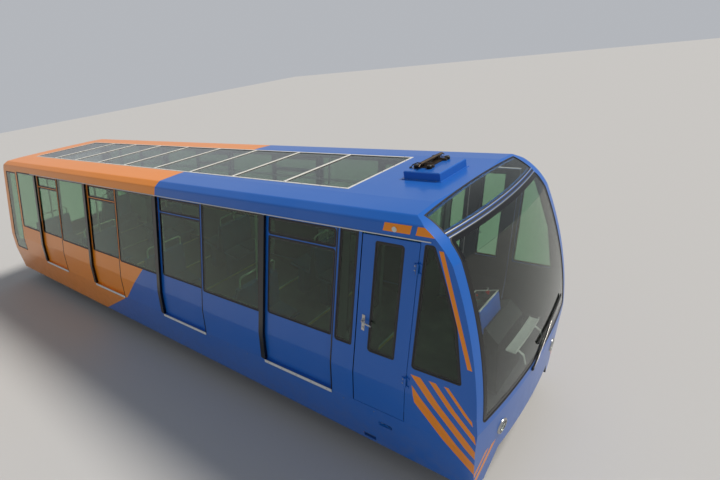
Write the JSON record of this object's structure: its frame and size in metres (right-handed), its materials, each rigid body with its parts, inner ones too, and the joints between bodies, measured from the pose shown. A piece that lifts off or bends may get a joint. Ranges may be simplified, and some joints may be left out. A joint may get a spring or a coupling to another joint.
{
  "type": "funicular car",
  "caption": "Glazed rail car for a steep cable-hauled line: hollow leaning body with a stepped floor, sliding doors on both sides, a cab at the uphill end, on two swivelling bogies.",
  "frame": {"origin": "centre of the bounding box at the lowest point of the wheel flanges", "axes": "+X along the track towards the uphill end, +Y towards the left side as seen facing uphill, +Z square to the rails"},
  "size_m": [12.4892, 2.5034, 3.2419],
  "materials": {
    "orange_paint": "smooth gloss coach paint",
    "blue_paint": "smooth gloss coach paint",
    "tinted_glass": "dark tinted safety glass",
    "wheel_steel": "turned steel, bright on the tread",
    "chassis_paint": "satin dark paint",
    "alloy_rail": "satin anodised",
    "floor_rubber": "studded sheet",
    "seat_shell": "moulded",
    "rail_paint": "gloss white",
    "cab_paint": "satin light grey",
    "lamp_lens": "clear lens over a reflector",
    "dark_metal": "satin black"
  },
  "bodies": {
    "carbody": {"benches": "seat_shell", "cab_desk": "cab_paint", "cab_screen": "cab_paint", "chassis_frame": "chassis_paint", "contact_bow": "dark_metal", "corner_glass_downhill": "tinted_glass", "corner_glass_uphill": "tinted_glass", "door_rails_left": "alloy_rail", "door_rails_right": "alloy_rail", "end_lamps": "lamp_lens", "floor_deck": "floor_rubber", "handrails": "rail_paint", "header_glass_uphill": "tinted_glass", "nose_downhill": "orange_paint", "nose_uphill": "blue_paint", "rail_brakes": "chassis_paint", "roof_bars": "alloy_rail", "roof_box": "blue_paint", "roof_glass": "tinted_glass", "roof_shell": "orange_paint", "rope_hitch_downhill": "chassis_paint", "rope_hitch_uphill": "chassis_paint", "side_glass_left": "tinted_glass", "side_glass_right": "tinted_glass", "side_panels_left": "orange_paint", "side_panels_right": "orange_paint", "skirt_left": "orange_paint", "skirt_right": "orange_paint", "windscreen_downhill": "tinted_glass", "windscreen_uphill": "tinted_glass", "wipers": "dark_metal"},
    "door_right_1": {"door_leaf_right_1": "orange_paint", "door_glass_right_1": "tinted_glass"},
    "door_right_2": {"door_leaf_right_2": "orange_paint", "door_glass_right_2": "tinted_glass"},
    "door_right_3": {"door_leaf_right_3": "orange_paint", "door_glass_right_3": "tinted_glass"},
    "door_right_4": {"door_leaf_right_4": "orange_paint", "door_glass_right_4": "tinted_glass"},
    "cab_door_right": {"cab_door_right": "blue_paint", "cab_glass_right": "tinted_glass"},
    "door_left_1": {"door_leaf_left_1": "orange_paint", "door_glass_left_1": "tinted_glass"},
    "door_left_2": {"door_leaf_left_2": "orange_paint", "door_glass_left_2": "tinted_glass"},
    "door_left_3": {"door_leaf_left_3": "orange_paint", "door_glass_left_3": "tinted_glass"},
    "door_left_4": {"door_leaf_left_4": "orange_paint", "door_glass_left_4": "tinted_glass"},
    "cab_door_left": {"cab_door_left": "blue_paint", "cab_glass_left": "tinted_glass"},
    "wheelset_1": {"wheelset_1": "wheel_steel"},
    "wheelset_2": {"wheelset_2": "wheel_steel"},
    "wheelset_3": {"wheelset_3": "wheel_steel"},
    "wheelset_4": {"wheelset_4": "wheel_steel"},
    "bogie_downhill": {"bogie_downhill": "chassis_paint"},
    "bogie_uphill": {"bogie_uphill": "chassis_paint"}
  },
  "joints": [
    {"name": "bogie_downhill_pivot", "type": "hinge", "parent": "carbody", "child": "bogie_downhill", "pos_m": [-3.9, 0, 0.44], "axis": [0, 0, 1], "range_deg": [-3, 3]},
    {"name": "bogie_uphill_pivot", "type": "hinge", "parent": "carbody", "child": "bogie_uphill", "pos_m": [3.9, 0, 0.44], "axis": [0, 0, 1], "range_deg": [-3, 3]},
    {"name": "wheelset_1_turn", "type": "hinge", "parent": "bogie_downhill", "child": "wheelset_1", "pos_m": [-4.6, 0, 0.275], "axis": [0, 1, 0], "continuous": true},
    {"name": "wheelset_2_turn", "type": "hinge", "parent": "bogie_downhill", "child": "wheelset_2", "pos_m": [-3.2, 0, 0.275], "axis": [0, 1, 0], "continuous": true},
    {"name": "wheelset_3_turn", "type": "hinge", "parent": "bogie_uphill", "child": "wheelset_3", "pos_m": [3.2, 0, 0.275], "axis": [0, 1, 0], "continuous": true},
    {"name": "wheelset_4_turn", "type": "hinge", "parent": "bogie_uphill", "child": "wheelset_4", "pos_m": [4.6, 0, 0.275], "axis": [0, 1, 0], "continuous": true},
    {"name": "door_right_1_slide", "type": "slide", "parent": "carbody", "child": "door_right_1", "axis": [-1, 0, 0], "range_m": [0, 1.04]},
    {"name": "door_right_2_slide", "type": "slide", "parent": "carbody", "child": "door_right_2", "axis": [-1, 0, 0], "range_m": [0, 1.04]},
    {"name": "door_right_3_slide", "type": "slide", "parent": "carbody", "child": "door_right_3", "axis": [-1, 0, 0], "range_m": [0, 1.04]},
    {"name": "door_right_4_slide", "type": "slide", "parent": "carbody", "child": "door_right_4", "axis": [-1, 0, 0], "range_m": [0, 1.04]},
    {"name": "door_left_1_slide", "type": "slide", "parent": "carbody", "child": "door_left_1", "axis": [-1, 0, 0], "range_m": [0, 1.04]},
    {"name": "door_left_2_slide", "type": "slide", "parent": "carbody", "child": "door_left_2", "axis": [-1, 0, 0], "range_m": [0, 1.04]},
    {"name": "door_left_3_slide", "type": "slide", "parent": "carbody", "child": "door_left_3", "axis": [-1, 0, 0], "range_m": [0, 1.04]},
    {"name": "door_left_4_slide", "type": "slide", "parent": "carbody", "child": "door_left_4", "axis": [-1, 0, 0], "range_m": [0, 1.04]},
    {"name": "cab_door_right_hinge", "type": "hinge", "parent": "carbody", "child": "cab_door_right", "pos_m": [5.39314, -1.23682, 1.4], "axis": [0.2248, 0.0339, 0.9738], "range_deg": [0, 85]},
    {"name": "cab_door_left_hinge", "type": "hinge", "parent": "carbody", "child": "cab_door_left", "pos_m": [5.39314, 1.23682, 1.4], "axis": [-0.2248, 0.0339, -0.9738], "range_deg": [0, 85]}
  ]
}
